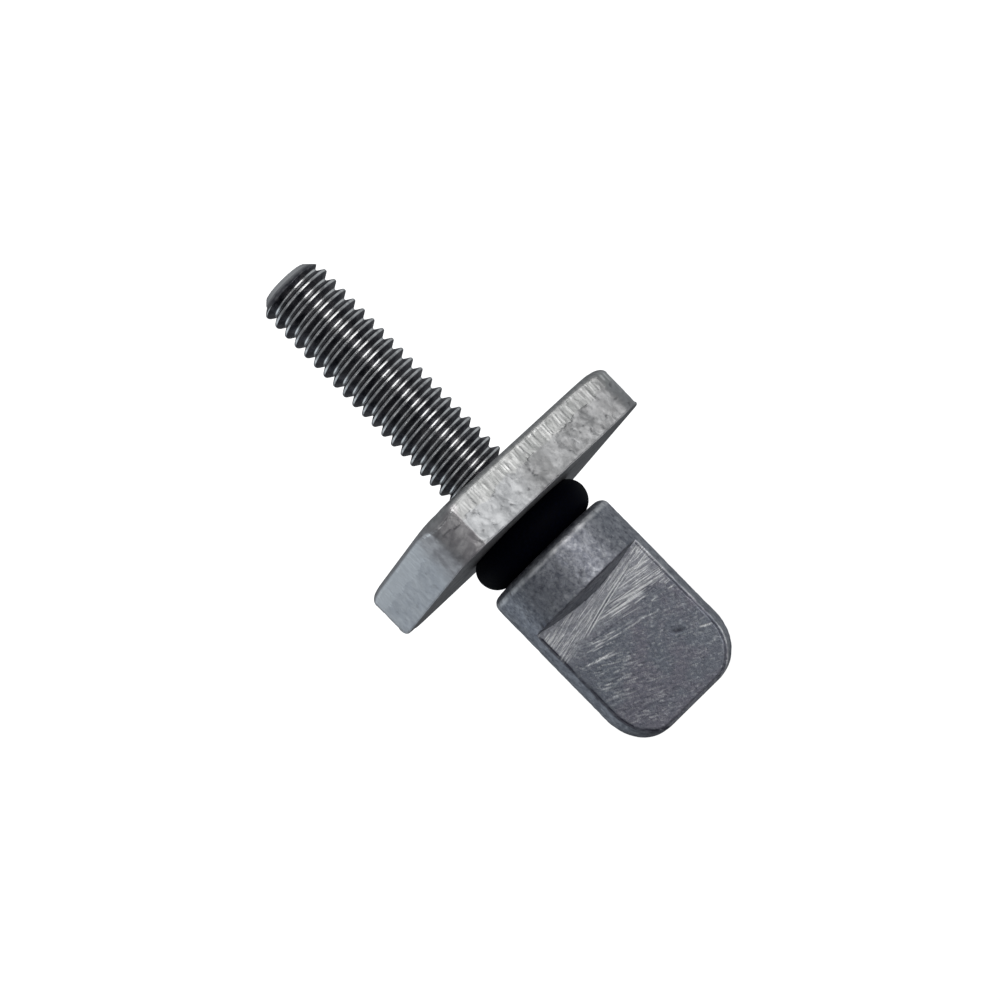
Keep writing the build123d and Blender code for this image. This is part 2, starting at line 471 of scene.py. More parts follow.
def tapped_hole(angles):
    """Rows of the plate's own thread with its two mouths, and rows per pitch."""
    crest_half = flank_half_width(TAP_MINOR_R) + FLANK_GAP
    bottom_half = flank_half_width(TAP_MAJOR_R) + FLANK_GAP
    profile = ridge_profile(TAP_MAJOR_R, TAP_MINOR_R, bottom_half, PITCH / 2 - crest_half)[::2]
    heights, radii, per_pitch = threaded_rows(profile, angles, 0.0, PLATE_T)
    mouths = np.maximum(TAP_MOUTH_R - heights, TAP_MOUTH_R - (PLATE_T - heights))
    radii = soft_max(radii, mouths, 0.03)
    radii = np.where((heights <= 0) | (heights >= PLATE_T), TAP_MOUTH_R, radii)
    return np.stack([radii * np.cos(angles), radii * np.sin(angles), heights], axis=-1), per_pitch


def make_plate(material):
    edge = PlateEdge(PLATE_COLUMNS)
    rows, face_rows, first, last = plate_rows(edge)
    on_side = carve_side(edge, rows[first:last])
    carried = {}
    for mark, values in on_side.items():
        carried[mark] = np.zeros(rows.shape[:2])
        carried[mark][first:last] = values
    # The head-side face counts as torn, and the worn corner's look runs on over both of its edges.
    carried["torn"][:first] = 1
    carried["worn"][face_rows:first] = on_side["worn"][0]
    fade = np.array([0.9, 0.7, 0.4, 0.15])[:, None]
    carried["worn"][last : last + len(fade)] = on_side["worn"][-1] * fade
    shell = Shell(*carried)
    shell.grid(rows, **carried)
    hole, per_pitch = tapped_hole(edge.angles)
    shell.grid(hole, turn=per_pitch)
    return shell.build("nut_plate_detail", "plate", "nut_plate", material, sharp=62)


# ---------------------------------------------------------------- O-ring
def make_ring(material):
    middle_r = RING_OUTER_R - RING_SECTION_R
    columns = 220
    angles = np.arange(columns) * 2 * math.pi / columns
    rows = []
    sections = 72
    # The rubber is pressed against the head's seat, so its upper half is a little taller.
    rise = SHOULDER_Z - RING_REST_GAP - RING_MIDDLE_Z
    for i in range(sections):
        turn = i / sections * 2 * math.pi
        seam = 0.006 * math.exp(-(((turn + math.pi) % (2 * math.pi) - math.pi) / 0.05) ** 2)
        out = (RING_SECTION_R - 0.008 + seam) * math.cos(turn)
        up = (rise if turn < math.pi else RING_SECTION_R) * math.sin(turn)
        rows.append(ring(middle_r + out, angles, max(RING_MIDDLE_Z + up, RING_LOW[2])))
    rows.append(rows[0])
    shell = Shell()
    shell.grid(np.array(rows))
    return shell.build("o_ring_detail", "ring", "o_ring", material)


# ---------------------------------------------------------------- head
HEAD_COLUMNS = 600


def paddle_angles(count):
    """Angles round the paddle whose points are evenly spaced along its outline."""
    fine = np.linspace(0, 2 * math.pi, 7201)
    reach = np.minimum(HEAD_R, PADDLE_HALF_T / np.maximum(np.abs(np.sin(fine)), 1e-9))
    x, y = reach * np.cos(fine), reach * np.sin(fine)
    travelled = np.concatenate([[0], np.cumsum(np.hypot(np.diff(x), np.diff(y)))])
    return np.interp(np.arange(count) * travelled[-1] / count, travelled, fine)


def corner_shift(side, z):
    """How far the paddle's round edge has moved in towards the axis at a height, and how fast it moves."""
    corner = np.where(side > 0, *PADDLE_CORNER_ACROSS)
    rise = np.clip((z - HEAD_END_Z + PADDLE_CORNER_UP) / PADDLE_CORNER_UP, 0, 1)
    left = np.sqrt(1 - rise**2)
    return corner * (1 - left), corner / PADDLE_CORNER_UP * rise / np.maximum(left, 0.1)


def head_radius(angles, z):
    """Distance from the axis to the head's surface at each angle from the paddle's wide axis."""
    if z < SHOULDER_Z + RIM_R:
        drop = RIM_R - (z - SHOULDER_Z)
        return np.full_like(angles, HEAD_R - RIM_R + math.sqrt(max(0.0, RIM_R**2 - drop**2)))
    end_rise = max(0.0, z - (HEAD_END_Z - PADDLE_END_R))
    half_t = PADDLE_HALF_T - PADDLE_END_R + math.sqrt(max(0.0, PADDLE_END_R**2 - end_rise**2))
    shift = corner_shift(np.cos(angles), z)[0]
    flat = half_t / np.maximum(np.abs(np.sin(angles)), 1e-6)
    side = np.sqrt(HEAD_R**2 - (shift * np.sin(angles)) ** 2) - shift * np.abs(np.cos(angles))
    reach = soft_min(side, flat, 0.16)
    fall = (z - BOSS_END_Z) * (HEAD_R - PADDLE_HALF_T) / STEP_DROP
    cone = HEAD_R - max(0.0, fall + 0.12) if z > BOSS_END_Z - 0.05 else HEAD_R
    return np.minimum(soft_max(reach, np.full_like(angles, max(cone, 0.2)), 0.10), HEAD_R)


# Grinding and handling marks on a flat. Each row: how many, then the ranges of their places across it
# and along the screw, angles in degrees, lengths, widths and strengths. Negative strengths are dark.
FLAT_MARKS = (
    (16, (-3.2, -0.3), (8.1, 9.2), (-13, -5), (0.6, 1.6), (0.018, 0.03), (0.3, 0.8)),
    (16, (0.7, 3.3), (7.9, 8.5), (-12, -6), (0.8, 2.2), (0.018, 0.03), (0.5, 1.2)),
    (20, (-0.1, 3.1), (8.6, 9.5), (8, 12), (0.8, 2.4), (0.016, 0.028), (0.8, 1.5)),
    (12, (0.2, 3.1), (9.4, 10.4), (9, 15), (0.4, 1.4), (0.016, 0.026), (0.4, 1.0)),
    (16, (-0.3, 3.1), (8.6, 10.0), (8, 13), (0.6, 2.0), (0.018, 0.03), (-0.9, -0.4)),
    (9, (2.95, 3.15), (9.3, 10.4), (2, 9), (0.3, 0.5), (0.016, 0.024), (0.7, 1.1)),
    (14, (-2.3, -0.6), (9.6, 10.6), (11, 17), (0.5, 1.2), (0.018, 0.03), (0.6, 1.2)),
    (8, (-2.3, -0.6), (9.6, 10.6), (11, 17), (0.5, 1.2), (0.018, 0.03), (-1.0, -0.6)),
    (70, (-3.1, -0.6), (10.7, 14.8), (24, 34), (0.2, 0.9), (0.016, 0.026), (0.25, 0.75)),
    (70, (-3.1, -0.2), (10.7, 14.9), (24, 34), (0.2, 0.8), (0.02, 0.034), (-0.9, -0.4)),
    (16, (0.2, 3.2), (10.2, 14.0), (18, 29), (0.2, 0.8), (0.014, 0.022), (0.2, 0.6)),
    (220, (-3.3, 3.3), (9.4, 15.0), (5, 50), (0.06, 0.22), (0.018, 0.035), (0.2, 0.55)),
    (260, (-3.3, 3.3), (9.0, 15.0), (5, 50), (0.06, 0.22), (0.02, 0.04), (-0.7, -0.25)),
)
# Single scratches: place, angle, length, width, strength and bend.
LONG_MARKS = (
    (0.19, 8.575, -13.8, 4.9, 0.026, 1.9, 0.014),
    (0.22, 8.715, -13.8, 4.6, 0.026, 1.7, 0.014),
    (0.20, 8.645, -13.8, 4.6, 0.025, -0.9, 0.014),
    (-3.1, 7.84, -8.0, 0.55, 0.03, 1.4, 0.0),
    (-3.2, 7.95, -9.0, 0.40, 0.03, 1.1, 0.0),
    (-3.0, 8.06, -10.0, 0.80, 0.025, 0.9, 0.0),
    (3.0, 7.76, -10.0, 0.70, 0.03, 1.4, 0.0),
    (3.2, 7.87, -10.0, 0.45, 0.03, 1.2, 0.0),
    (2.8, 7.98, -11.0, 1.00, 0.025, 0.9, 0.0),
    (-2.0, 10.52, 21.0, 2.0, 0.03, 0.9, 0.0),
    (-2.3, 11.73, 18.6, 1.3, 0.03, 1.1, 0.0),
    (2.94, 12.91, 28.0, 0.8, 0.035, 1.2, 0.0),
    (1.2, 10.57, 21.0, 1.3, 0.025, 0.6, 0.0),
)
PIT_PLACE = (1.75, 12.15)     # across the front flat and along the screw
FINE_MARKS_END_Z = 10.2       # the thinnest long scratches lie below this, so rows are close there


def flat_marks(seed):
    draw = random.Random(seed)
    lines = [(u, v, math.radians(angle), *rest) for u, v, angle, *rest in LONG_MARKS]
    for row in FLAT_MARKS:
        lines += scatter(draw, *row)
    return lines


def head_rows(angles):
    """Smooth rows of the head, close together where it has fine marks. The paddle's flats face Y."""
    step_low, step_high = BOSS_END_Z - 0.15, BOSS_END_Z + 0.62
    levels = [SHOULDER_Z + RIM_R * (1 - math.cos(t)) for t in np.linspace(0, math.pi / 2, 14)]
    levels += list(np.linspace(SHOULDER_Z + RIM_R, step_low, 36)[1:])
    levels += list(np.linspace(step_low, step_high, 32)[1:])
    levels += list(np.linspace(step_high, FINE_MARKS_END_Z, 98)[1:])
    levels += list(np.linspace(FINE_MARKS_END_Z, HEAD_END_Z - PADDLE_CORNER_UP, 62)[1:])
    levels += [HEAD_END_Z - PADDLE_CORNER_UP * (1 - math.sin(t)) for t in np.linspace(0, math.pi / 2, 76)[1:]]
    levels = np.array(levels)
    rows = np.array([ring(head_radius(angles, z), angles, z) for z in levels])
    end = rows[-1]
    middle = np.array([0, 0, HEAD_END_Z])
    end_rows = [middle + (end - middle) * t for t in (0.98, 0.94, 0.85, 0.65, 0.45, 0.25, 0.1, 0.0)]
    return np.concatenate([rows, end_rows])


def ground_flats(rows, radius, facing, across_flat):
    """How much each point lies on one of the ground flats, and the marks, pit and zones of lines there."""
    cone_r = HEAD_R - (rows[..., 2] - BOSS_END_Z) * (HEAD_R - PADDLE_HALF_T) / STEP_DROP
    on_flat = ease(np.abs(rows[..., 1]), PADDLE_HALF_T - 0.05, PADDLE_HALF_T - 0.015)
    on_flat *= (radius > cone_r + 0.02) * (rows[..., 2] > BOSS_END_Z) * (rows[..., 2] < HEAD_END_Z - 0.1)
    marks = np.zeros(rows.shape[:2])
    for way, seed in ((-1, 7), (1, 19)):
        this = (facing == way) & (on_flat > 0)
        marks[this] = strokes(across_flat[this], rows[..., 2][this], flat_marks(seed))
    pit_u = across_flat - PIT_PLACE[0]
    pit_v = rows[..., 2] - PIT_PLACE[1] - 0.5 * pit_u
    pit = np.exp(-((pit_u / 0.32) ** 2) - ((pit_v / 0.13) ** 2)) * (facing < 0) * on_flat
    # Three zones of fine grinding lines. On the front flat, with the head's end down, they rise from the
    # left, fall gently and fall steeply.
    boundary = 8.6 - 0.245 * across_flat
    falls = ease(rows[..., 2], boundary - 0.05, boundary + 0.3)
    fading = rows[..., 2] + rough(rows, 1.1, 0.5, 77.0)
    gentle = falls * ease(across_flat, -1.6, 0.4) * (1 - ease(fading, 9.0, 10.5))
    return on_flat, marks, pit, falls, gentle


def flat_edges(rows, right):
    """The groove just inside each flat's outline, and a painted highlight along its right-hand edge."""
    shift, slope = corner_shift(rows[..., 0], rows[..., 2])
    to_edge = (PADDLE_EDGE_X - shift - np.abs(rows[..., 0])) / np.sqrt(1 + slope**2)
    broken = ease(rough(rows * (1, 1, 0.6), 0.5, 1.0, 61.0), -0.5, 0.1)
    groove_width = np.where(right, 0.04, 0.06) + 0.03 * np.minimum(shift, 1)
    groove_place = np.where(right, 0.13, 0.05)
    groove = np.exp(-(((to_edge - groove_place) / groove_width) ** 2)) * (0.35 + 0.65 * broken)
    above_step = (rows[..., 2] > BOSS_END_Z + 0.1) * (rows[..., 2] < HEAD_END_Z - 0.05)
    above_step = above_step * (np.abs(rows[..., 1]) > 1.2)
    # Painted highlight: a bright line along the flat's right-hand edge.
    right_edge_highlight = np.exp(-((to_edge / 0.035) ** 2)) * right * above_step * (0.15 + 0.6 * broken)
    return groove * above_step, right_edge_highlight


def step_darkening(rows, on_flat):
    """A dark line in broken lumps along the foot of the step, and a faint shade over the step itself."""
    crease = np.exp(-(((rows[..., 2] - BOSS_END_Z) / 0.05) ** 2)) * (np.abs(rows[..., 1]) > 2.0)
    crease_breakup = ease(rough(rows, 0.7, 1.0, 71.0), -0.5, 0.4)
    crease_breakup *= 0.4 + 0.6 * ease(rough(rows, 0.16, 1.0, 73.0), -0.3, 0.3)
    beside_flat = (1 - on_flat) * (np.abs(rows[..., 1]) > PADDLE_HALF_T + 0.03)
    shade = 0.12 * ease(rows[..., 2], BOSS_END_Z, BOSS_END_Z + 0.08) * beside_flat
    return crease * (0.2 + 0.8 * crease_breakup), shade


def turned_about_z(rows, angle):
    cos, sin = math.cos(angle), math.sin(angle)
    x, y, z = rows[..., 0], rows[..., 1], rows[..., 2]
    return np.stack([x * cos - y * sin, x * sin + y * cos, z], axis=-1)


def make_head(material):
    angles = paddle_angles(HEAD_COLUMNS)
    rows = head_rows(angles)
    radius = np.hypot(rows[..., 0], rows[..., 1])
    outward = rows * (1, 1, 0) / np.maximum(radius, 1e-6)[..., None]
    facing = np.where(rows[..., 1] < 0, -1.0, 1.0)
    # Across each flat, to the right seen from outside with the head's end down.
    across_flat = rows[..., 0] * facing
    right = across_flat > 0
    on_flat, marks, pit, falls, gentle = ground_flats(rows, radius, facing, across_flat)
    groove, right_edge_highlight = flat_edges(rows, right)
    crease, shade = step_darkening(rows, on_flat)
    # Cast skin: low lumps and shallow pits, on the flats much less.
    lumps = rough(rows, 1.3, 0.022, 1.7) + rough(rows, 0.42, 0.016, 8.2)
    lumps += rough(rows, 0.18, 0.005, 5.1, 2)
    dents = ease(rough(rows, 0.3, 1.0, 44.0), 0.45, 0.75)
    skin = np.minimum(lumps, 0.012) - 0.012 - 0.02 * dents - 0.02 * crease
    ground = 0.18 * lumps - 0.006 + np.clip(-0.002 * marks, -0.003, 0.003) - 0.03 * pit - 0.05 * groove
    keep = ease(radius, 0.4, 1.6)
    keep[0] = 0
    rows = rows + outward * ((skin * (1 - on_flat) + ground * on_flat) * keep)[..., None]
    # marks: the scratches, and the painted highlight along the flats' right-hand edges.
    marks = np.clip(marks, -1, 1.3) * on_flat + right_edge_highlight
    # Darkened in colour: the dents a little; the grooves, as painted shade, more on the left-hand edge; the
    # crease at the step's foot.
    darkening = (0.4 * dents * (1 - on_flat), np.where(right, 0.9, 1.3) * groove, 1.3 * crease * (1 - on_flat))
    pit = np.maximum.reduce([pit, *darkening, shade])
    shell = Shell("ground", "marks", "pit", "falls", "gentle")
    shell.grid(
        turned_about_z(rows, HEAD_TURN), ground=on_flat, marks=marks, pit=pit, falls=falls, gentle=gentle
    )
    seat = [
        (HEAD_R - RIM_R, SHOULDER_Z),
        (HEAD_R - RIM_R - 0.1, SHOULDER_Z),
        (2.5, SHOULDER_Z),
        (SOCKET_R, SHOULDER_Z),
        (SOCKET_R, ANCHOR_END_Z - ANCHOR_CHAMFER),
        (SOCKET_R - ANCHOR_CHAMFER, ANCHOR_END_Z),
        (0, ANCHOR_END_Z),
    ]
    shell.grid(turned(seat, angles + HEAD_TURN))
    return shell.build("thumb_head_detail", "screw", "thumb_head", material)


# ---------------------------------------------------------------- materials
class Finish:
    """A material's node tree, with the surface's own position in millimetres to hand."""

    def __init__(self, name):
        self.material = bpy.data.materials.new(name)
        self.material.use_nodes = True
        self.tree = self.material.node_tree
        self.tree.nodes.clear()
        self.out = self.add("ShaderNodeOutputMaterial")
        self.shader = self.add("ShaderNodeBsdfPrincipled")
        self.tree.links.new(self.shader.outputs[0], self.out.inputs["Surface"])
        place = self.add("ShaderNodeTexCoord").outputs["Object"]
        self.place = self.mapped(place, scale=(1 / MM,) * 3)

    def add(self, kind, settings=None, **inputs):
        node = self.tree.nodes.new(kind)
        for key, value in (settings or {}).items():
            setattr(node, key, value)
        for key, value in inputs.items():
            self.feed(node.inputs[key.replace("_", " ")], value)
        return node

    def feed(self, socket, value):
        if isinstance(value, bpy.types.NodeSocket):
            self.tree.links.new(value, socket)
        else:
            socket.default_value = value

    def mapped(self, vector, scale=(1, 1, 1), turn=(0, 0, 0)):
        return self.add("ShaderNodeMapping", Vector=vector, Scale=scale, Rotation=turn).outputs[0]

    def mark(self, name):
        """A value that the mesh carries at each point."""
        return self.add("ShaderNodeAttribute", {"attribute_name": name}).outputs["Fac"]

    def height(self):
        return self.add("ShaderNodeSeparateXYZ", Vector=self.place).outputs["Z"]

    def noise(self, scale, detail=3.0, roughness=0.55, vector=None, distortion=0.0):
        node = self.add(
            "ShaderNodeTexNoise",
            Vector=vector or self.place,
            Scale=scale,
            Detail=detail,
            Roughness=roughness,
            Distortion=distortion,
        )
        return node.outputs["Fac"]

    def span(self, value, low, high, start=0.0, end=1.0):
        """Start where value is low, end where it is high, smooth between."""
        node = self.add("ShaderNodeMapRange", {"interpolation_type": "SMOOTHSTEP"}, Value=value)
        for key, number in (("From Min", low), ("From Max", high), ("To Min", start), ("To Max", end)):
            self.feed(node.inputs[key], number)
        return node.outputs[0]

    def lines(self, local, slope, length, spacing, detail=2.0):
        """Noise drawn out into lines in the XZ plane, at a slope in degrees."""
        turned_place = self.mapped(local, turn=(0, math.radians(slope), 0))
        return self.noise(1.0, detail, vector=self.mapped(turned_place, scale=(1 / length, 1.5, 1 / spacing)))

    def grey(self, value):
        """A number as a colour."""
        return self.add("ShaderNodeCombineColor", Red=value, Green=value, Blue=value).outputs[0]

    def math(self, operation, a, b=0.0, clamp=False):
        node = self.add("ShaderNodeMath", {"operation": operation, "use_clamp": clamp})
        self.feed(node.inputs[0], a)
        self.feed(node.inputs[1], b)
        return node.outputs[0]

    def mix(self, share, a, b):
        """Colour a where share is 0, b where it is 1."""
        node = self.add("ShaderNodeMix", {"data_type": "RGBA"})
        self.feed(node.inputs[0], share)
        self.feed(node.inputs[6], a if isinstance(a, bpy.types.NodeSocket) else tuple(a) + (1,))
        self.feed(node.inputs[7], b if isinstance(b, bpy.types.NodeSocket) else tuple(b) + (1,))
        return node.outputs[2]

    def bump(self, height, strength, distance, under=None):
        node = self.add("ShaderNodeBump", Height=height, Strength=strength, Distance=distance * MM)
        if under is not None:
            self.feed(node.inputs["Normal"], under)
        return node.outputs[0]

    def finish(self, **inputs):
        for key, value in inputs.items():
            self.feed(self.shader.inputs[key.replace("_", " ")], value)
        return self.material


def thread_steel():
    f = Finish("rolled_thread_steel")
    spot = f.add("ShaderNodeSeparateXYZ", Vector=f.place).outputs
    squares = f.math("ADD", f.math("POWER", spot["X"], 2.0), f.math("POWER", spot["Y"], 2.0))
    radius = f.math("SQRT", squares)
    stain = f.noise(1.6, 4)
    colour = f.mix(f.span(stain, 0.3, 0.7), (0.08, 0.082, 0.10), (0.25, 0.245, 0.26))
    colour = f.mix(f.span(f.noise(3.2, 4, 0.65), 0.48, 0.68, 0.0, 0.6), colour, (0.33, 0.315, 0.32))
    # Lighter lines: the crests, worn and with a painted highlight; a painted highlight along the rounded
    # root; and lighter towards the tip.
    worn = f.span(f.noise(3.5, 3), 0.3, 0.6, 0.5, 1.0)
    crest = f.math("MULTIPLY", f.span(radius, CREST_R - 0.022, CREST_R - 0.004), worn)
    root = f.span(radius, ROOT_R + 0.022, ROOT_R + 0.004)
    tip = f.span(spot["Z"], TIP_Z + 0.45, TIP_Z + 0.25, 0.0, 0.5)
    bright = f.math("MAXIMUM", f.math("MAXIMUM", crest, root), tip)
    colour = f.mix(bright, colour, (0.86, 0.86, 0.85))
    fine = f.noise(14, 3)
    rolled = f.noise(1.0, 3, vector=f.mapped(f.place, scale=(3, 3, 30)))
    rough_value = f.math("SUBTRACT", f.span(fine, 0.3, 0.75, 0.22, 0.36), f.math("MULTIPLY", bright, 0.06))
    bump = f.bump(f.math("ADD", f.noise(22, 3), rolled), 0.25, 0.006)
    return f.finish(Base_Color=colour, Metallic=1.0, Roughness=rough_value, Normal=bump)


def plate_steel():
    f = Finish("stamped_plate_steel")
    torn, worn, shear, plate_rim_highlight, pit = (f.mark(name) for name in ("torn", "worn", "shear", "plate_rim_highlight", "pit"))
    cloud = f.noise(1.3, 5, 0.6, distortion=0.6)
    blotch = f.noise(3.6, 4, 0.6, distortion=1.0)
    torn_colour = f.mix(f.span(cloud, 0.32, 0.68), (0.36, 0.36, 0.36), (0.58, 0.58, 0.58))
    torn_colour = f.mix(f.span(blotch, 0.5, 0.72, 0.0, 0.4), torn_colour, (0.28, 0.275, 0.28))
    patch = f.add("ShaderNodeSeparateXYZ", Vector=f.place)
    # A lighter patch on the -Y side, from x 0.6 to 2.6 mm.
    lighter_patch = f.math("MULTIPLY", f.span(patch.outputs["X"], 0.6, 2.6), f.span(patch.outputs["Y"], -6.2, -6.4))
    torn_colour = f.mix(f.math("MULTIPLY", lighter_patch, 0.7), torn_colour, (0.66, 0.67, 0.68))
    streak = f.noise(1.0, 3, vector=f.mapped(f.place, scale=(4.5, 4.5, 0.5)))
    cut_colour = f.mix(f.span(streak, 0.35, 0.65), (0.44, 0.445, 0.435), (0.60, 0.60, 0.59))
    # Painted light: the +X side is drawn lighter and bluish, standing in for the bluish light that falls on
    # that side.
    clear = f.span(patch.outputs["X"], 6.3, 6.5)
    cut_colour = f.mix(f.math("MULTIPLY", clear, 0.8), cut_colour, (0.78, 0.79, 0.815))
    lit_side_colour = f.mix(f.span(cloud, 0.35, 0.65), (0.66, 0.675, 0.71), (0.76, 0.77, 0.79))
    torn_colour = f.mix(f.math("MULTIPLY", clear, 0.85), torn_colour, lit_side_colour)
    colour = f.mix(torn, cut_colour, torn_colour)
    colour = f.mix(f.math("MULTIPLY", shear, 0.75, clamp=True), colour, (0.97, 0.97, 0.95))
    colour = f.mix(f.math("MULTIPLY", shear, -0.6, clamp=True), colour, (0.26, 0.26, 0.27))
    slanted = f.mapped(f.mapped(f.place, turn=(0.7, 0.7, 0)), scale=(1.2, 1.6, 3.2))
    smear = f.span(f.noise(1.0, 4, vector=slanted), 0.36, 0.64)
    worn_colour = f.mix(smear, (0.40, 0.38, 0.39), (0.62, 0.60, 0.60))
    colour = f.mix(f.math("MULTIPLY", worn, 0.92, clamp=True), colour, worn_colour)
    # Dark: pits, the darker head-side edge and painted shade at the worn corner.
    colour = f.mix(f.math("MULTIPLY", pit, 0.6, clamp=True), colour, (0.2, 0.195, 0.2))
    # Painted highlight along the rim.
    colour = f.mix(f.math("MULTIPLY", plate_rim_highlight, 0.9, clamp=True), colour, (0.98, 0.98, 0.97))
    rough_value = f.math("ADD", f.span(f.noise(3, 4), 0.3, 0.7, 0.32, 0.44), f.math("MULTIPLY", torn, 0.06))
    rough_value = f.math("SUBTRACT", rough_value, f.math("MULTIPLY", plate_rim_highlight, 0.12))
    bump = f.bump(f.noise(2.4, 3, 0.5, distortion=0.8), 0.6, 0.03)
    bump = f.bump(f.noise(12, 3), 0.3, 0.004, bump)
    return f.finish(Base_Color=colour, Metallic=1.0, Roughness=rough_value, Normal=bump)


def rubber():
    f = Finish("black_rubber")
    dust = f.noise(9, 4)
    colour = f.mix(f.span(dust, 0.4, 0.85), (0.0006, 0.0008, 0.003), (0.002, 0.003, 0.012))
    rough_value = f.span(dust, 0.3, 0.7, 0.5, 0.65)
    bump = f.bump(f.noise(16, 3), 0.12, 0.01)
    return f.finish(Base_Color=colour, Roughness=rough_value, Normal=bump, Specular_IOR_Level=0.03)


def cast_skin_colour(f):
    cloud = f.noise(0.9, 5, 0.6)
    mottle = f.noise(3.2, 4, 0.65, distortion=0.8)
    streak = f.noise(1.0, 3, vector=f.mapped(f.place, scale=(4, 4, 1.1)))
    skin = f.mix(f.span(cloud, 0.3, 0.7), (0.30, 0.31, 0.35), (0.46, 0.47, 0.51))
    skin = f.mix(f.span(mottle, 0.46, 0.62, 0.0, 0.6), skin, (0.19, 0.20, 0.24))
    skin = f.mix(f.span(streak, 0.5, 0.7, 0.0, 0.25), skin, (0.60, 0.605, 0.62))
    speck = f.noise(3.8, 5, 0.7)
    skin = f.mix(f.span(speck, 0.36, 0.5, 0.5, 0.0), skin, (0.12, 0.125, 0.15))
    skin = f.mix(f.span(speck, 0.54, 0.68, 0.0, 0.5), skin, (0.72, 0.725, 0.74))
    # Painted highlight: a bright band round the shoulder's rim, broken by noise.
    rim_start = f.span(f.height(), SHOULDER_Z + 0.2, SHOULDER_Z + 0.3)
    rim_end = f.span(f.height(), SHOULDER_Z + 0.6, SHOULDER_Z + 0.4)
    shoulder_highlight = f.math("MULTIPLY", rim_start, rim_end)
    shoulder_highlight = f.math("MULTIPLY", shoulder_highlight, f.span(f.noise(1.6, 3), 0.35, 0.6, 0.2, 0.9))
    return f.mix(shoulder_highlight, skin, (0.92, 0.92, 0.93))


def grinding_lines(f, local):
    """Fine bright lines on the flats, 0 to 1, in the three zones that the mesh carries."""
    falls, gentle = f.mark("falls"), f.mark("gentle")
    rising = f.span(f.lines(local, 12, 1.1, 0.045, 3.0), 0.50, 0.68)
    falling = f.span(f.lines(local, -10, 1.3, 0.05, 3.0), 0.50, 0.66)
    steep = f.span(f.lines(local, -25, 0.5, 0.09, 3.0), 0.54, 0.72, 0.0, 0.4)
    return f.mix(gentle, f.mix(falls, f.grey(rising), f.grey(steep)), f.grey(falling))


def ground_flat_colour(f, local, fine):
    """Bare ground metal with a painted highlight next to the step, duller and finely mottled towards the end.
    """
    # Painted highlight: lighter next to the step, where the flat's run-out catches the light; the fine lines
    # are drawn stronger there too.
    step_highlight = f.span(f.height(), 10.4, 8.4)
    dashes = f.lines(local, -22, 0.3, 0.12, 4.0)
    grain = f.math("ADD", f.math("MULTIPLY", dashes, 0.45), f.math("MULTIPLY", f.noise(6, 4, 0.7), 0.55))
    low = f.mix(f.span(f.noise(0.55, 3, 0.5), 0.42, 0.58), (0.285, 0.277, 0.322), (0.262, 0.285, 0.325))
    flat = f.mix(step_highlight, low, (0.53, 0.535, 0.58))
    flat = f.mix(f.span(grain, 0.38, 0.62, 0.6, 0.0), flat, (0.16, 0.165, 0.20))
    flat = f.mix(f.span(grain, 0.52, 0.66, 0.0, 0.35), flat, (0.66, 0.67, 0.70))
    flat = f.mix(f.span(f.noise(1.1, 4, 0.6), 0.5, 0.7, 0.0, 0.3), flat, (0.26, 0.26, 0.30))
    return f.mix(f.math("MULTIPLY", fine, f.span(step_highlight, 0.15, 0.9, 0.3, 0.9)), flat, (1.0, 1.0, 1.0))


def cast_metal():
    f = Finish("cast_metal")
    ground, marks, pit = (f.mark(name) for name in ("ground", "marks", "pit"))
    local = f.mapped(f.place, turn=(0, 0, -HEAD_TURN))
    fine = grinding_lines(f, local)
    colour = f.mix(ground, cast_skin_colour(f), ground_flat_colour(f, local, fine))
    # White: bright scratches and the painted edge highlight. Dark: dark scratches.
    colour = f.mix(f.math("MULTIPLY", marks, 0.85, clamp=True), colour, (1.0, 1.0, 1.0))
    colour = f.mix(f.math("MULTIPLY", marks, -0.8, clamp=True), colour, (0.10, 0.10, 0.13))
    # pit: the front flat's pit, the darkened dents and step crease, and painted shade in the grooves and over
    # the step.
    colour = f.mix(f.math("MULTIPLY", pit, 0.8, clamp=True), colour, (0.08, 0.08, 0.105))
    skin_rough = f.span(f.noise(3.5, 4), 0.3, 0.7, 0.40, 0.56)
    rough_value = f.math("SUBTRACT", skin_rough, f.math("MULTIPLY", ground, 0.05))
    scored = f.math("ADD", f.math("MULTIPLY", fine, 0.6), f.math("MULTIPLY", marks, 0.15))
    scored = f.math("MULTIPLY", scored, ground)
    bump = f.bump(f.math("ADD", f.noise(4.5, 5, 0.65), f.math("MULTIPLY", scored, -0.5)), 0.9, 0.022)
    bump = f.bump(f.noise(10, 3), 0.4, 0.01, bump)
    return f.finish(Base_Color=colour, Metallic=1.0, Roughness=rough_value, Normal=bump)


# ---------------------------------------------------------------- light and floor
def way_to(azimuth, elevation):
    """A direction: degrees round the screw from the camera, and up towards the head."""
    azimuth, elevation = math.radians(azimuth), math.radians(elevation)
    level = math.cos(elevation)
    return in_view(-math.sin(azimuth) * level, math.cos(azimuth) * level, math.sin(elevation))


# The room as the metal sees it: azimuth, elevation, half width in degrees, colour, radiance.
ROOM = (
    (-113, 0, 34, (0.84, 0.93, 1.0), 0.58),
    (116, 0, 55, (0.92, 0.97, 1.0), 0.30),
    (-40, 0, 55, (0.93, 0.96, 1.0), 0.07),
    (35, -45, 45, (1.0, 1.0, 1.0), 0.12),
    (0, -90, 88, (0.92, 0.95, 1.0), 0.16),
    (0, 90, 35, (1.0, 1.0, 1.0), 0.3),
)
ROOM_BASE = ((0.88, 0.93, 1.0), 0.11)
BACKDROP = ((1.0, 1.0, 1.0), 1.05)    # what the camera itself sees round the object
LIGHT_DISTANCE = 200
FLOOR_REACH = 4.0             # metres
FLOOR_GAP = 0.02              # below the thread's tip


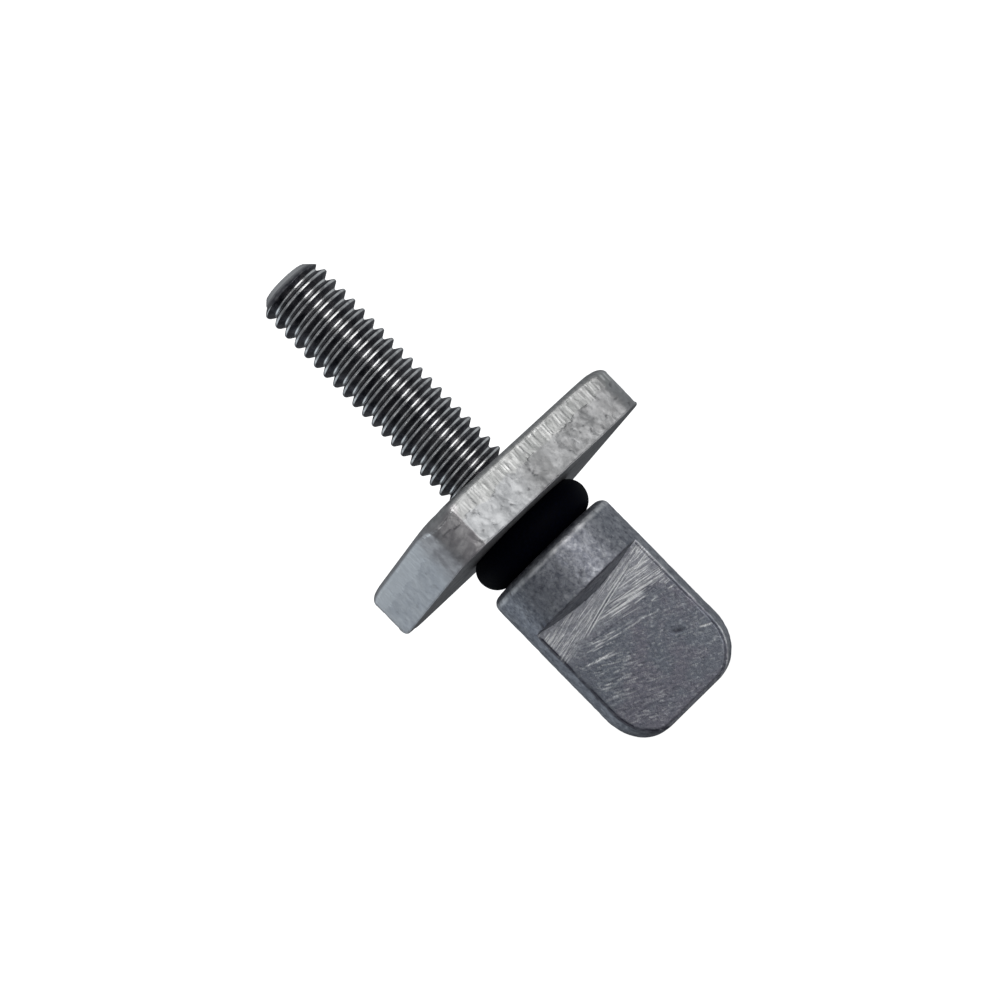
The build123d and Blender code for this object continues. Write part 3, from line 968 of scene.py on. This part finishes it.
def make_world():
    world = bpy.data.worlds.new("studio")
    world.use_nodes = True
    bpy.context.scene.world = world
    tree = world.node_tree
    tree.nodes.clear()
    place = tree.nodes.new("ShaderNodeTexCoord").outputs["Generated"]

    def glow(colour, strength):
        node = tree.nodes.new("ShaderNodeBackground")
        node.inputs["Color"].default_value = (*colour, 1)
        if isinstance(strength, bpy.types.NodeSocket):
            tree.links.new(strength, node.inputs["Strength"])
        else:
            node.inputs["Strength"].default_value = strength
        return node.outputs[0]

    lit = glow(*ROOM_BASE)
    for azimuth, elevation, half_width, colour, radiance in ROOM:
        dot = tree.nodes.new("ShaderNodeVectorMath")
        dot.operation = "DOT_PRODUCT"
        tree.links.new(place, dot.inputs[0])
        dot.inputs[1].default_value = way_to(azimuth, elevation)
        lobe = tree.nodes.new("ShaderNodeMapRange")
        lobe.interpolation_type = "SMOOTHSTEP"
        lobe.inputs["From Min"].default_value = math.cos(math.radians(half_width))
        lobe.inputs["To Max"].default_value = radiance
        tree.links.new(dot.outputs["Value"], lobe.inputs["Value"])
        both = tree.nodes.new("ShaderNodeAddShader")
        tree.links.new(lit, both.inputs[0])
        tree.links.new(glow(colour, lobe.outputs[0]), both.inputs[1])
        lit = both.outputs[0]
    seen = tree.nodes.new("ShaderNodeMixShader")
    tree.links.new(tree.nodes.new("ShaderNodeLightPath").outputs["Is Camera Ray"], seen.inputs[0])
    tree.links.new(lit, seen.inputs[1])
    tree.links.new(glow(*BACKDROP), seen.inputs[2])
    tree.links.new(seen.outputs[0], tree.nodes.new("ShaderNodeOutputWorld").inputs[0])


def softbox(name, azimuth, elevation, width, height, radiance):
    """A white rectangular light, aimed at the origin. Angles in degrees, lengths in millimetres."""
    data = bpy.data.lights.new(name, "AREA")
    data.shape = "RECTANGLE"
    data.size, data.size_y = width * MM, height * MM
    data.energy = 4 * radiance * data.size * data.size_y
    lamp = bpy.data.objects.new(name, data)
    bpy.context.scene.collection.objects.link(lamp)
    way = way_to(azimuth, elevation)
    lamp.location = way * LIGHT_DISTANCE * MM
    lamp.rotation_euler = way.to_track_quat("Z", "Y").to_euler()
    lamp.visible_camera = False


def make_light():
    make_world()
    softbox("key", 35, 4, 145, 170, 1.15)
    softbox("strip", -28, 0, 170, 20, 0.75)
    softbox("low", 30, -38, 90, 34, 1.6)


def make_floor():
    mesh = bpy.data.meshes.new("floor")
    level = cad_box[0].z - FLOOR_GAP * MM
    corners = [(x * FLOOR_REACH, y * FLOOR_REACH, level) for x, y in ((-1, -1), (1, -1), (1, 1), (-1, 1))]
    mesh.from_pydata(corners, [], [(0, 1, 2, 3)])
    floor = bpy.data.objects.new("floor", mesh)
    bpy.context.scene.collection.objects.link(floor)
    floor.visible_glossy = False
    floor.visible_diffuse = False
    floor.visible_shadow = False
    f = Finish("pale_floor")
    grain = f.mix(f.span(f.noise(0.05, 2), 0.3, 0.7), (0.90, 0.90, 0.90), (0.94, 0.94, 0.94))
    mesh.materials.append(
        f.finish(Base_Color=grain, Roughness=0.9, Emission_Color=(1, 1, 1, 1), Emission_Strength=1.0)
    )


make_stud(thread_steel())
make_plate(plate_steel())
make_ring(rubber())
make_head(cast_metal())
make_light()
make_floor()
bpy.context.scene.view_settings.view_transform = "Standard"
